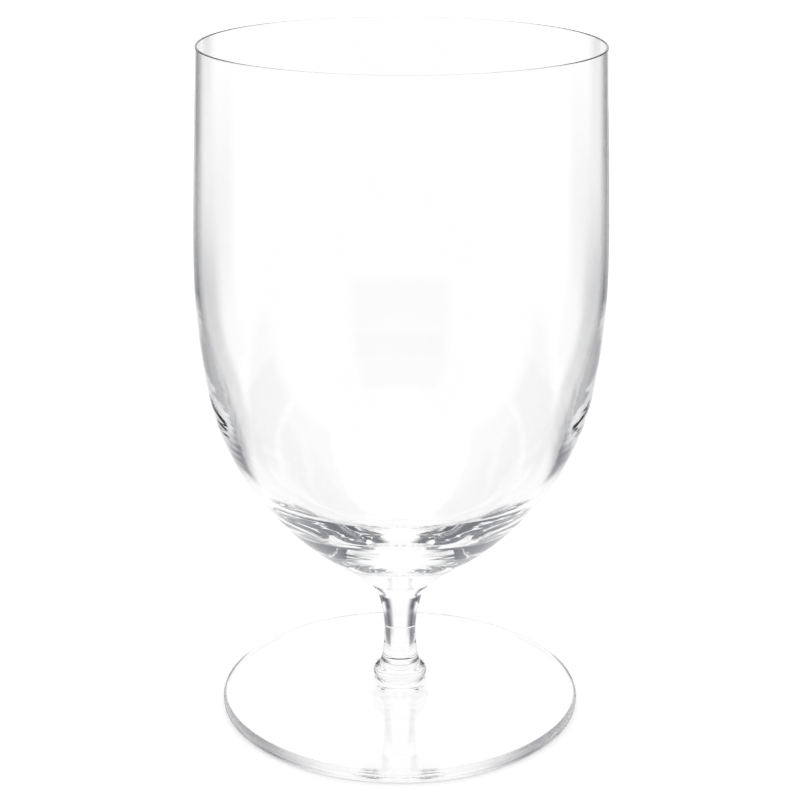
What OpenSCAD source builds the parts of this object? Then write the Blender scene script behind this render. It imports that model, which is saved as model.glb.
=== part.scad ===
// Stemmed water goblet of clear glass: a bowl, a short drawn stem and a flat foot.
// Each piece is its own gather of glass, turned about Z, and they are fused hot at two flat joints.
// Millimetres, +Z up. The origin is the centre of the face that the foot stands on.

/* [Bowl] */
// Height of the bowl from its joint with the stem to the rim
bowl_h = 119; // [95:1:150]
// Outer diameter at the rim
rim_d = 84.1; // [74:0.1:94]
// Greatest outer diameter of the bowl
belly_d = 87.1; // [80:0.1:98]
// Thickness of the wall at the rim
rim_wall = 0.5; // [0.4:0.05:1.2]
// Thickness of the wall at the belly
belly_wall = 0.8; // [0.5:0.05:1.6]
// Solid glass between the cavity's floor and the joint with the stem
base_solid = 9; // [7:0.5:14]

/* [Stem] */
// Height of the stem from its joint with the foot to its joint with the bowl
stem_h = 23.6; // [16:0.2:60]
// Diameter of the flared top, where the stem meets the bowl
flare_d = 13.8; // [12:0.1:20]
// Diameter at the waist
waist_d = 7; // [5:0.1:10]
// Diameter of the bead above the foot
bead_d = 12; // [11:0.1:16]

/* [Foot] */
// Outer diameter of the foot
foot_d = 80.1; // [66:0.1:95]
// Thickness of the foot at its edge
foot_edge = 2.9; // [2.2:0.1:4]
// Height of the foot's top face where it meets the boss
foot_rise = 4.2; // [3.4:0.1:6]
// Height of the boss above the foot's top face, up to the joint with the stem
boss_h = 1.2; // [0.8:0.1:3]
// Diameter of the ring where the boss meets the foot's top face
boss_d = 13.2; // [12.5:0.1:20]
// Diameter of the joint between the boss and the stem
crease_d = 9.4; // [8.4:0.1:11]
// Radius of the rounding at the foot's upper and lower edges
foot_round = 1.2; // [0.6:0.05:1.4]
// Depth of the shallow hollow under the foot
hollow_depth = 0.6; // [0.2:0.1:1.2]

/* [Hidden] */
glass_colour = [0.93, 0.96, 0.97, 0.45];
// Facets round the axis
round_fn = 180;
// Points along each drawn curve, and along each rounded edge
curve_steps = 40;
stem_steps = 44;
foot_steps = 12;
edge_steps = 6;
// Degree of the curves that the glass is drawn along
degree = 3;

rim_r = rim_d / 2;
belly_r = belly_d / 2;
flare_r = flare_d / 2;
waist_r = waist_d / 2;
bead_r = bead_d / 2;
foot_r = foot_d / 2;
boss_r = boss_d / 2;
crease_r = crease_d / 2;
foot_joint_z = foot_rise + boss_h;
bowl_joint_z = foot_joint_z + stem_h;
rim_z = bowl_joint_z + bowl_h;
cavity_z = bowl_joint_z + base_solid;
lip_r = rim_wall / 2;

// Guide points of the bowl's outside from the rim down to the belly:
// share of the belly's overhang past the rim, share of the bowl's height
outer_side_shares = [[0, 1], [0.4, 0.88], [0.85, 0.73], [1.3, 0.58]];
// Guide points from the belly down to the joint:
// share of the way from the flare's radius to the belly's, share of the bowl's height
outer_base_shares = [
    [0.98, 0.44], [0.9, 0.31], [0.75, 0.22], [0.55, 0.14], [0.35, 0.08], [0.2, 0.05], [0.06, 0.015],
    [0, 0]
];
// Guide points of the cavity's wall: share of the belly's overhang past the rim,
// share of the cavity's height, share of the way from the rim's wall to the belly's
inner_side_shares = [[0, 1, 0], [0.4, 0.88, 0.1], [0.8, 0.72, 0.2], [1.35, 0.52, 0.8]];
// Guide points of the cavity's floor: share of the inner belly radius, share of the cavity's height
inner_floor_shares = [[0.96, 0.38], [0.83, 0.2], [0.65, 0.12], [0.4, 0.05], [0.2, 0], [0, 0]];

// Guide points of the stem down to the waist:
// share of the way from the waist's radius to the flare's, share of the stem's height
stem_top_shares = [[1, 1], [0.85, 0.96], [0.5, 0.9], [0.3, 0.8], [0.14, 0.7], [0.03, 0.55], [0, 0.45]];
// Guide points from the waist down to the joint with the foot:
// share of the way from the waist's radius to the bead's, share of the stem's height
stem_bead_shares = [[0.1, 0.3], [0.2, 0.22], [0.35, 0.16], [0.75, 0.12], [1.05, 0.07], [1, 0.02]];
// Guide points of the boss: share of the way from the joint's radius to the boss ring's,
// share of the boss's height
boss_shares = [[0, 1], [0.1, 0.6], [0.45, 0.2], [1, 0]];
// Guide points of the foot's top face: share of the way out to the edge's rounding,
// share of the fall from the boss ring to the edge
foot_top_shares = [[0, 0], [0.08, 0.2], [0.42, 0.6], [0.85, 0.92], [1, 1]];
// Guide points of the hollow under the foot: share of the foot's radius, share of its depth
hollow_shares = [[0.75, 0], [0.56, 0], [0.37, 0.5], [0.12, 1], [0, 1]];

// Knot i of a curve with n guide points, clamped at both ends
function knot(i, n) = min(max((i - degree) / (n - degree), 0), 1);

function part_of(top, bottom) = bottom == 0 ? 0 : top / bottom;

// Weight of guide point i at share u of the way along
function weight(i, d, u, n) = d == 0
    ? (u >= knot(i, n) && u < knot(i + 1, n) ? 1 : 0)
    : part_of(u - knot(i, n), knot(i + d, n) - knot(i, n)) * weight(i, d - 1, u, n)
      + part_of(knot(i + d + 1, n) - u, knot(i + d + 1, n) - knot(i + 1, n)) * weight(i + 1, d - 1, u, n);

function weights(u, n) = [for (i = [0 : n - 1]) weight(i, degree, u, n)];

// Smooth curve that starts at the first guide point, ends at the last and is drawn towards the others
function drawn(points, steps) = [
    for (k = [0 : steps]) k == steps ? points[len(points) - 1] : weights(k / steps, len(points)) * points
];

function without_first(points) = [for (k = [1 : len(points) - 1]) points[k]];

function arc(centre, r, from, to, steps) = [
    for (k = [0 : steps]) centre + r * [cos(from + (to - from) * k / steps), sin(from + (to - from) * k / steps)]
];

outer_guide = concat(
    [for (s = outer_side_shares)
        [rim_r + s[0] * (belly_r - rim_r), bowl_joint_z + s[1] * bowl_h - lip_r * s[1]]],
    [for (s = outer_base_shares)
        [flare_r + s[0] * (belly_r - flare_r), bowl_joint_z + s[1] * bowl_h]]
);
inner_belly_r = belly_r - belly_wall;
cavity_h = rim_z - lip_r - cavity_z;
inner_guide = concat(
    [for (s = inner_side_shares)
        [
            rim_r + s[0] * (belly_r - rim_r) - rim_wall - s[2] * (belly_wall - rim_wall),
            cavity_z + s[1] * cavity_h
        ]],
    [for (s = inner_floor_shares) [s[0] * inner_belly_r, cavity_z + s[1] * cavity_h]]
);
stem_guide = concat(
    [for (s = stem_top_shares) [waist_r + s[0] * (flare_r - waist_r), foot_joint_z + s[1] * stem_h]],
    [for (s = stem_bead_shares) [waist_r + s[0] * (bead_r - waist_r), foot_joint_z + s[1] * stem_h]],
    [[crease_r, foot_joint_z]]
);
boss_guide = [
    for (s = boss_shares) [crease_r + s[0] * (boss_r - crease_r), foot_rise + s[1] * boss_h]
];
edge_in_r = foot_r - foot_round;
foot_top_guide = [
    for (s = foot_top_shares)
        [boss_r + s[0] * (edge_in_r - boss_r), foot_rise + s[1] * (foot_edge - foot_rise)]
];
hollow_guide = [for (s = hollow_shares) [s[0] * foot_r, s[1] * hollow_depth]];

module turned(points) {
    color(glass_colour) rotate_extrude($fn = round_fn) polygon(points);
}

// Thin-walled bowl with a fire-polished rim and a heavy solid base
module bowl() {
    inner = drawn(inner_guide, curve_steps);
    outer = drawn(outer_guide, curve_steps);
    lip = arc([rim_r - lip_r, rim_z - lip_r], lip_r, 180, 0, edge_steps);
    turned(concat(
        [for (k = [len(inner) - 1 : -1 : 1]) inner[k]],
        lip,
        without_first(outer),
        [[0, bowl_joint_z]]
    ));
}

// Solid stem, flared under the bowl, waisted and gathered into a bead above the foot
module stem() {
    turned(concat(
        [[0, foot_joint_z], [0, bowl_joint_z]],
        drawn(stem_guide, stem_steps)
    ));
}

// Flat disc with rounded edges, a low boss in the middle and a shallow hollow underneath
module foot() {
    turned(concat(
        [[0, foot_joint_z]],
        drawn(boss_guide, foot_steps),
        without_first(drawn(foot_top_guide, foot_steps)),
        without_first(arc([edge_in_r, foot_edge - foot_round], foot_round, 90, 0, edge_steps)),
        arc([edge_in_r, foot_round], foot_round, 0, -90, edge_steps),
        drawn(hollow_guide, foot_steps)
    ));
}

bowl();
stem();
foot();
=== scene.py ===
import math

import bmesh
import bpy
from mathutils import Matrix, Vector


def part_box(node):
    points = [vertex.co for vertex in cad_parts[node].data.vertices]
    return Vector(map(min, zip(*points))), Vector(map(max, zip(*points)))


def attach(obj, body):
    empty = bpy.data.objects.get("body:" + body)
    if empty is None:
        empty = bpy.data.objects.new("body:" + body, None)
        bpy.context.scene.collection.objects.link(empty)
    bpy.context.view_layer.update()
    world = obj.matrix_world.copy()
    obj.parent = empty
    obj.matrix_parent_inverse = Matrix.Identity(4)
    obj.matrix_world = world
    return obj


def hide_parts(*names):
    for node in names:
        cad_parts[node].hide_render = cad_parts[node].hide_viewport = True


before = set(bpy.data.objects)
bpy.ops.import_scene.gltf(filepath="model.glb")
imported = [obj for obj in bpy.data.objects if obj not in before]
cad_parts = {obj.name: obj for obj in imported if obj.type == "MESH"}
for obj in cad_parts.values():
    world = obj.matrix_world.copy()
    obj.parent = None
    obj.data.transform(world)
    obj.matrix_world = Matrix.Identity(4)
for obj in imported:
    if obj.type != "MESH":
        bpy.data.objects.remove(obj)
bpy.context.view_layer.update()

MM = 0.001
# Degree of the curves that the glass is drawn along, and facets round the axis
DEGREE = 3
SEGMENTS = 288
# Points along each drawn curve, and along each rounded edge
INNER_STEPS = 180
OUTER_STEPS = 200
STEM_STEPS = 160
BOSS_STEPS = 24
FOOT_STEPS = 60
EDGE_STEPS = 12
# Share of a step at which a curve has one more point beside each end
JOINT_STEP_SHARE = 0.04

# Driving dimensions of the goblet, in millimetres, as the solids have them
RIM_R = 42.05
BELLY_R = 43.55
RIM_WALL = 0.5
BELLY_WALL = 0.8
BASE_SOLID = 9.0
FLARE_R = 6.9
WAIST_R = 3.5
BEAD_R = 6.0
CREASE_R = 4.7
BOSS_R = 6.6
BOSS_H = 1.2
FOOT_R = 40.05
FOOT_EDGE = 2.9
FOOT_ROUND = 1.2
HOLLOW_DEPTH = 0.6

# Heights come from the frame
FOOT_JOINT_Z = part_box("foot")[1][2] / MM
BOWL_JOINT_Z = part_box("stem")[1][2] / MM
RIM_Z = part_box("bowl")[1][2] / MM
BOWL_H = RIM_Z - BOWL_JOINT_Z
STEM_H = BOWL_JOINT_Z - FOOT_JOINT_Z
FOOT_RISE = FOOT_JOINT_Z - BOSS_H
LIP_R = RIM_WALL / 2
CAVITY_Z = BOWL_JOINT_Z + BASE_SOLID
CAVITY_H = RIM_Z - LIP_R - CAVITY_Z

# Bowl's outside: share of the belly's overhang past the rim, share of the bowl's height
OUTER_SIDE_SHARES = [(0, 1), (0.4, 0.88), (0.85, 0.73), (1.3, 0.58)]
# Below the belly: share of the way from the flare's radius to the belly's, share of the height
OUTER_BASE_SHARES = [
    (0.98, 0.44), (0.9, 0.31), (0.75, 0.22), (0.55, 0.14), (0.35, 0.08), (0.2, 0.05), (0.06, 0.015),
    (0, 0),
]
# Cavity's wall: share of the overhang, share of the cavity's height, share of the wall's thickening
INNER_SIDE_SHARES = [(0, 1, 0), (0.4, 0.88, 0.1), (0.8, 0.72, 0.2), (1.35, 0.52, 0.8)]
# Cavity's floor: share of the inner belly radius, share of the cavity's height
INNER_FLOOR_SHARES = [(0.96, 0.38), (0.83, 0.2), (0.65, 0.12), (0.4, 0.05), (0.2, 0), (0, 0)]
# Stem above the waist: share of the way from the waist to the flare, share of the stem's height
STEM_TOP_SHARES = [(1, 1), (0.85, 0.96), (0.5, 0.9), (0.3, 0.8), (0.14, 0.7), (0.03, 0.55), (0, 0.45)]
# Stem below the waist: share of the way from the waist to the bead, share of the stem's height
STEM_BEAD_SHARES = [(0.1, 0.3), (0.2, 0.22), (0.35, 0.16), (0.75, 0.12), (1.05, 0.07), (1, 0.02)]
# Boss: share of the way from the crease to the boss ring, share of the boss's height
BOSS_SHARES = [(0, 1), (0.1, 0.6), (0.45, 0.2), (1, 0)]
# Foot's top: share of the way out to the edge's rounding, share of the fall to the edge
FOOT_TOP_SHARES = [(0, 0), (0.08, 0.2), (0.42, 0.6), (0.85, 0.92), (1, 1)]
# Hollow under the foot: share of the foot's radius, share of its depth
HOLLOW_SHARES = [(0.75, 0), (0.56, 0), (0.37, 0.5), (0.12, 1), (0, 1)]

# Camera, solved from the rim's and the foot's ellipses in the 800 px photograph
PHOTO_PX = 800
FOCAL_PX = 1913.455
CAMERA_DISTANCE = 392.774
CAMERA_HEIGHT = 203.371
CAMERA_PITCH_DEG = 18.5965
CAMERA_ROLL_DEG = 0.1685
AXIS_PX = 400.753
SENSOR_MM = 36
CLIP_START_M = 0.01
# Where the photographer stands; the goblet is round, so this only turns the studio with the camera
MAIN_AZIMUTH_DEG = 225

GLASS_IOR = 1.5
# Skin of each piece, in millimetres: height and spacing of its faint rings, and height of its cords
BOWL_SKIN = (0.045, 2.6, 0.01)
STEM_SKIN = (0.002, 2.5, 0.004)
FOOT_SKIN = (0.002, 1.5, 0.004)
# Share of the bowl's height, from its joint up, that carries the rings
BOWL_RING_SHARE = 0.45
# Waves per metre along which the rings and the cords wander, and the cords' width in millimetres
RING_DRIFT = 6.0
CORD_DRIFT = 8.0
CORD_WIDTH = 6.0

# Studio as the glass sees it: white all round, with dark cards that have soft edges. Each card is
# azimuth from and to, in degrees to both sides of the direction that the main view looks in,
# elevation from and to, width of the soft edge in azimuth and in elevation, and darkness.
CARDS = [
    (20, 38, -13, 6, 14, 8, 0.9),
    (20, 38, -29, -13, 14, 8, 0.75),
    (30, 62, -35, -13, 12, 6, 0.75),
    (30, 88, -3, 16, 12, 3, 0.95),
    (30, 88, 20, 52, 12, 3, 0.95),
    (150, 190, 0, 10, 10, 4, 0.9),
    (150, 190, 10, 34, 12, 6, 0.5),
]
# Colour at full darkness
CARD_TINT = (0.0, 0.006, 0.035)
LIGHT_BOUNCES = 64
# Half of the floor's side in metres, its colour, and the light added where the camera sees it
FLOOR_HALF = 3.0
FLOOR_ALBEDO = 0.8
FLOOR_LIFT = 0.4


def knot(i, n):
    return min(max((i - DEGREE) / (n - DEGREE), 0), 1)


def part_of(top, bottom):
    return top / bottom if bottom else 0


def weight(i, d, u, n):
    """Weight of guide point i of n at share u of the way along a clamped curve."""
    if d == 0:
        return 1 if knot(i, n) <= u < knot(i + 1, n) else 0
    rise = part_of(u - knot(i, n), knot(i + d, n) - knot(i, n))
    fall = part_of(knot(i + d + 1, n) - u, knot(i + d + 1, n) - knot(i + 1, n))
    return rise * weight(i, d - 1, u, n) + fall * weight(i + 1, d - 1, u, n)


def drawn(guide, steps):
    """Smooth curve that starts at the first guide point, ends at the last and is drawn towards the rest.

    A point close to each end keeps the shading true where two pieces are fused.
    """
    n = len(guide)
    shares = [k / steps for k in range(steps)]
    shares.insert(1, JOINT_STEP_SHARE / steps)
    shares.append(1 - JOINT_STEP_SHARE / steps)
    curve = []
    for u in shares:
        weights = [weight(i, DEGREE, u, n) for i in range(n)]
        curve.append(tuple(sum(w * p[axis] for w, p in zip(weights, guide)) for axis in (0, 1)))
    curve.append(tuple(guide[-1]))
    return curve


def arc(centre, r, start_deg, end_deg, steps):
    turns = [math.radians(start_deg + (end_deg - start_deg) * k / steps) for k in range(steps + 1)]
    return [(centre[0] + r * math.cos(a), centre[1] + r * math.sin(a)) for a in turns]


def between(low, high, share):
    return low + share * (high - low)


def turned(name, outline, joint_heights, materials):
    """Closed mesh of the outline turned about Z. Flat faces at joint heights take the second material."""
    mesh = bpy.data.meshes.new(name)
    bm = bmesh.new()
    rings = []
    for r, z in outline:
        if r == 0:
            rings.append([bm.verts.new((0, 0, z * MM))])
            continue
        turns = [2 * math.pi * k / SEGMENTS for k in range(SEGMENTS)]
        rings.append([bm.verts.new((r * MM * math.cos(a), r * MM * math.sin(a), z * MM)) for a in turns])
    for (upper, lower), (above, below) in zip(zip(rings, rings[1:]), zip(outline, outline[1:])):
        fused = above[1] == below[1] and above[1] in joint_heights
        for k in range(SEGMENTS):
            after = (k + 1) % SEGMENTS
            corners = [upper[k % len(upper)], lower[k % len(lower)]]
            if len(lower) > 1:
                corners.append(lower[after])
            if len(upper) > 1:
                corners.append(upper[after])
            face = bm.faces.new(corners)
            face.smooth = True
            face.material_index = 1 if fused else 0
    bmesh.ops.recalc_face_normals(bm, faces=bm.faces)
    for edge in bm.edges:
        edge.smooth = len({face.material_index for face in edge.link_faces}) == 1
    bm.to_mesh(mesh)
    bm.free()
    for material in materials:
        mesh.materials.append(material)
    piece = bpy.data.objects.new(name, mesh)
    bpy.context.scene.collection.objects.link(piece)
    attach(piece, "root")
    return piece


def bowl_outline():
    inner_belly_r = BELLY_R - BELLY_WALL
    outer = [
        (between(RIM_R, BELLY_R, s[0]), BOWL_JOINT_Z + s[1] * BOWL_H - LIP_R * s[1])
        for s in OUTER_SIDE_SHARES
    ] + [(between(FLARE_R, BELLY_R, s[0]), BOWL_JOINT_Z + s[1] * BOWL_H) for s in OUTER_BASE_SHARES]
    inner = [
        (between(RIM_R, BELLY_R, s[0]) - between(RIM_WALL, BELLY_WALL, s[2]), CAVITY_Z + s[1] * CAVITY_H)
        for s in INNER_SIDE_SHARES
    ] + [(s[0] * inner_belly_r, CAVITY_Z + s[1] * CAVITY_H) for s in INNER_FLOOR_SHARES]
    lip = arc((RIM_R - LIP_R, RIM_Z - LIP_R), LIP_R, 180, 0, EDGE_STEPS)
    inside = drawn(inner, INNER_STEPS)[::-1]
    return inside[:-1] + lip + drawn(outer, OUTER_STEPS)[1:] + [(0, BOWL_JOINT_Z)]


def stem_outline():
    guide = [
        (between(WAIST_R, FLARE_R, s[0]), FOOT_JOINT_Z + s[1] * STEM_H) for s in STEM_TOP_SHARES
    ] + [(between(WAIST_R, BEAD_R, s[0]), FOOT_JOINT_Z + s[1] * STEM_H) for s in STEM_BEAD_SHARES]
    guide.append((CREASE_R, FOOT_JOINT_Z))
    return [(0, BOWL_JOINT_Z)] + drawn(guide, STEM_STEPS) + [(0, FOOT_JOINT_Z)]


def foot_outline():
    edge_in_r = FOOT_R - FOOT_ROUND
    boss = [(between(CREASE_R, BOSS_R, s[0]), FOOT_RISE + s[1] * BOSS_H) for s in BOSS_SHARES]
    top = [(between(BOSS_R, edge_in_r, s[0]), between(FOOT_RISE, FOOT_EDGE, s[1])) for s in FOOT_TOP_SHARES]
    upper_edge = arc((edge_in_r, FOOT_EDGE - FOOT_ROUND), FOOT_ROUND, 90, 0, EDGE_STEPS)
    lower_edge = arc((edge_in_r, FOOT_ROUND), FOOT_ROUND, 0, -90, EDGE_STEPS)
    hollow = [(s[0] * FOOT_R, s[1] * HOLLOW_DEPTH) for s in HOLLOW_SHARES]
    return (
        [(0, FOOT_JOINT_Z)] + drawn(boss, BOSS_STEPS) + drawn(top, FOOT_STEPS)[1:] + upper_edge[1:]
        + lower_edge + drawn(hollow, FOOT_STEPS)
    )


def glass_material(name, skin, fade_from, fade_to):
    """Clear colourless glass with a fire-polished skin.

    The skin carries faint rings left by the tools as the piece was turned, highest between the
    heights fade_from and fade_to, and long faint cords along the draw. Lengths are in millimetres.
    """
    ring_height, ring_length, cord_height = skin
    material = bpy.data.materials.new(name)
    material.use_nodes = True
    n = Nodes(material.node_tree)
    shader = material.node_tree.nodes["Principled BSDF"]
    shader.inputs["Base Color"].default_value = (1, 1, 1, 1)
    shader.inputs["Roughness"].default_value = 0.0
    shader.inputs["IOR"].default_value = GLASS_IOR
    shader.inputs["Transmission Weight"].default_value = 1.0
    place = n.new("ShaderNodeTexCoord").outputs["Object"]
    split = n.new("ShaderNodeSeparateXYZ")
    n.link(place, split.inputs[0])
    height = n.math("DIVIDE", split.outputs[2], MM)
    rings = n.noise(place, (RING_DRIFT, RING_DRIFT, 1 / (ring_length * MM)))
    cords = n.noise(place, (1 / (CORD_WIDTH * MM), 1 / (CORD_WIDTH * MM), CORD_DRIFT))
    ringed = n.between(height, fade_from, fade_to, fade_to - fade_from)
    strength = n.math("MULTIPLY", ringed, ring_height)
    relief = n.math("ADD", n.math("MULTIPLY", rings, strength), n.math("MULTIPLY", cords, cord_height))
    bump = n.new("ShaderNodeBump")
    bump.inputs["Distance"].default_value = MM
    n.link(relief, bump.inputs["Height"])
    n.link(bump.outputs[0], shader.inputs["Normal"])
    return material


def fused_material():
    """The joint faces, where two gathers are one glass and nothing shows."""
    material = bpy.data.materials.new("fused_joint")
    material.use_nodes = True
    nodes = material.node_tree.nodes
    clear = nodes.new("ShaderNodeBsdfTransparent")
    nodes.remove(nodes["Principled BSDF"])
    material.node_tree.links.new(clear.outputs[0], nodes["Material Output"].inputs["Surface"])
    return material


class Nodes:
    """Short calls for building a node tree."""

    def __init__(self, tree):
        self.tree = tree

    def new(self, kind, **settings):
        node = self.tree.nodes.new(kind)
        for key, value in settings.items():
            setattr(node, key, value)
        return node

    def link(self, out, into):
        self.tree.links.new(out, into)

    def math(self, operation, *values):
        node = self.new("ShaderNodeMath", operation=operation)
        for socket, value in zip(node.inputs, values):
            if isinstance(value, bpy.types.NodeSocket):
                self.link(value, socket)
            else:
                socket.default_value = value
        return node.outputs[0]

    def noise(self, place, scale):
        """Smooth noise from 0 to 1 with its own number of waves per metre along each axis."""
        stretch = self.new("ShaderNodeVectorMath", operation="MULTIPLY")
        self.link(place, stretch.inputs[0])
        stretch.inputs[1].default_value = scale
        node = self.new("ShaderNodeTexNoise")
        node.inputs["Scale"].default_value = 1.0
        node.inputs["Detail"].default_value = 1.0
        self.link(stretch.outputs[0], node.inputs["Vector"])
        return node.outputs["Fac"]

    def step(self, value, place, width):
        """Soft step from 0 to 1 where value passes place."""
        node = self.new("ShaderNodeMapRange", interpolation_type="SMOOTHSTEP")
        self.link(value, node.inputs["Value"])
        node.inputs["From Min"].default_value = place - width / 2
        node.inputs["From Max"].default_value = place + width / 2
        return node.outputs[0]

    def between(self, value, low, high, width):
        """1 between low and high, 0 outside."""
        return self.math("SUBTRACT", self.step(value, low, width), self.step(value, high, width))


def build_world():
    world = bpy.data.worlds.new("studio")
    bpy.context.scene.world = world
    world.use_nodes = True
    world.node_tree.nodes.clear()
    n = Nodes(world.node_tree)
    split = n.new("ShaderNodeSeparateXYZ")
    n.link(n.new("ShaderNodeTexCoord").outputs["Generated"], split.inputs[0])
    x, y, z = split.outputs[0], split.outputs[1], split.outputs[2]
    turn = math.radians(MAIN_AZIMUTH_DEG)
    ahead = n.math("ADD", n.math("MULTIPLY", x, -math.sin(turn)), n.math("MULTIPLY", y, math.cos(turn)))
    aside = n.math("ADD", n.math("MULTIPLY", x, math.cos(turn)), n.math("MULTIPLY", y, math.sin(turn)))
    level = n.math("SQRT", n.math("ADD", n.math("POWER", x, 2), n.math("POWER", y, 2)))
    azimuth = n.math("MULTIPLY", n.math("ABSOLUTE", n.math("ARCTAN2", aside, ahead)), 180 / math.pi)
    elevation = n.math("MULTIPLY", n.math("ARCTAN2", z, level), 180 / math.pi)
    light = 1.0
    for az_from, az_to, el_from, el_to, az_soft, el_soft, darkness in CARDS:
        across = n.between(azimuth, az_from, az_to, az_soft)
        card = n.math("MULTIPLY", across, n.between(elevation, el_from, el_to, el_soft))
        light = n.math("MULTIPLY", light, n.math("SUBTRACT", 1.0, n.math("MULTIPLY", card, darkness)))
    # The camera sees a plain white backdrop, and only the glass sees the cards
    rays = n.new("ShaderNodeLightPath")
    plain = n.math("MAXIMUM", rays.outputs["Is Camera Ray"], rays.outputs["Is Diffuse Ray"])
    colour = n.new("ShaderNodeMix", data_type="RGBA")
    n.link(n.math("MAXIMUM", light, plain), colour.inputs["Factor"])
    colour.inputs[6].default_value = CARD_TINT + (1,)
    colour.inputs[7].default_value = (1, 1, 1, 1)
    background = n.new("ShaderNodeBackground")
    background.inputs["Strength"].default_value = 1.0
    n.link(colour.outputs[2], background.inputs["Color"])
    n.link(background.outputs[0], n.new("ShaderNodeOutputWorld").inputs[0])


def build_floor():
    mesh = bpy.data.meshes.new("floor")
    s = FLOOR_HALF
    mesh.from_pydata([(-s, -s, 0), (s, -s, 0), (s, s, 0), (-s, s, 0)], [], [(0, 1, 2, 3)])
    floor = bpy.data.objects.new("floor", mesh)
    bpy.context.scene.collection.objects.link(floor)
    floor.visible_glossy = False
    floor.visible_transmission = False
    material = bpy.data.materials.new("floor")
    material.use_nodes = True
    n = Nodes(material.node_tree)
    shader = material.node_tree.nodes["Principled BSDF"]
    shader.inputs["Base Color"].default_value = (FLOOR_ALBEDO,) * 3 + (1,)
    shader.inputs["Roughness"].default_value = 1.0
    shader.inputs["Specular IOR Level"].default_value = 0.0
    shader.inputs["Emission Color"].default_value = (1, 1, 1, 1)
    rays = n.new("ShaderNodeLightPath")
    n.link(n.math("MULTIPLY", rays.outputs["Is Camera Ray"], FLOOR_LIFT), shader.inputs["Emission Strength"])
    mesh.materials.append(material)


def build_camera():
    lens = bpy.data.cameras.new("camera")
    camera = bpy.data.objects.new("camera", lens)
    bpy.context.scene.collection.objects.link(camera)
    lens.sensor_width = SENSOR_MM
    lens.lens = FOCAL_PX * lens.sensor_width / PHOTO_PX
    lens.shift_x = (PHOTO_PX / 2 - AXIS_PX) / PHOTO_PX
    lens.clip_start = CLIP_START_M
    around = Matrix.Rotation(math.radians(MAIN_AZIMUTH_DEG), 4, "Z")
    place = Matrix.Translation(Vector((0, -CAMERA_DISTANCE, CAMERA_HEIGHT)) * MM)
    tilt = Matrix.Rotation(math.radians(90 - CAMERA_PITCH_DEG), 4, "X")
    roll = Matrix.Rotation(math.radians(CAMERA_ROLL_DEG), 4, "Z")
    camera.matrix_world = around @ place @ tilt @ roll
    bpy.context.scene.camera = camera


bowl_glass = glass_material("bowl_glass", BOWL_SKIN, BOWL_JOINT_Z, BOWL_JOINT_Z + BOWL_RING_SHARE * BOWL_H)
stem_glass = glass_material("stem_glass", STEM_SKIN, FOOT_JOINT_Z, BOWL_JOINT_Z)
foot_glass = glass_material("foot_glass", FOOT_SKIN, 0, FOOT_JOINT_Z)
fused = fused_material()
bowl = turned("goblet_bowl", bowl_outline(), [BOWL_JOINT_Z], [bowl_glass, fused])
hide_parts("bowl")
stem = turned("goblet_stem", stem_outline(), [BOWL_JOINT_Z, FOOT_JOINT_Z], [stem_glass, fused])
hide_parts("stem")
foot = turned("goblet_foot", foot_outline(), [FOOT_JOINT_Z], [foot_glass, fused])
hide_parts("foot")
build_world()
build_floor()
build_camera()
bpy.context.scene.view_settings.view_transform = "Standard"
# Light runs to and fro inside the foot and the heavy base many times before it leaves
for kind in ("max_bounces", "glossy_bounces", "transmission_bounces"):
    setattr(bpy.context.scene.cycles, kind, LIGHT_BOUNCES)
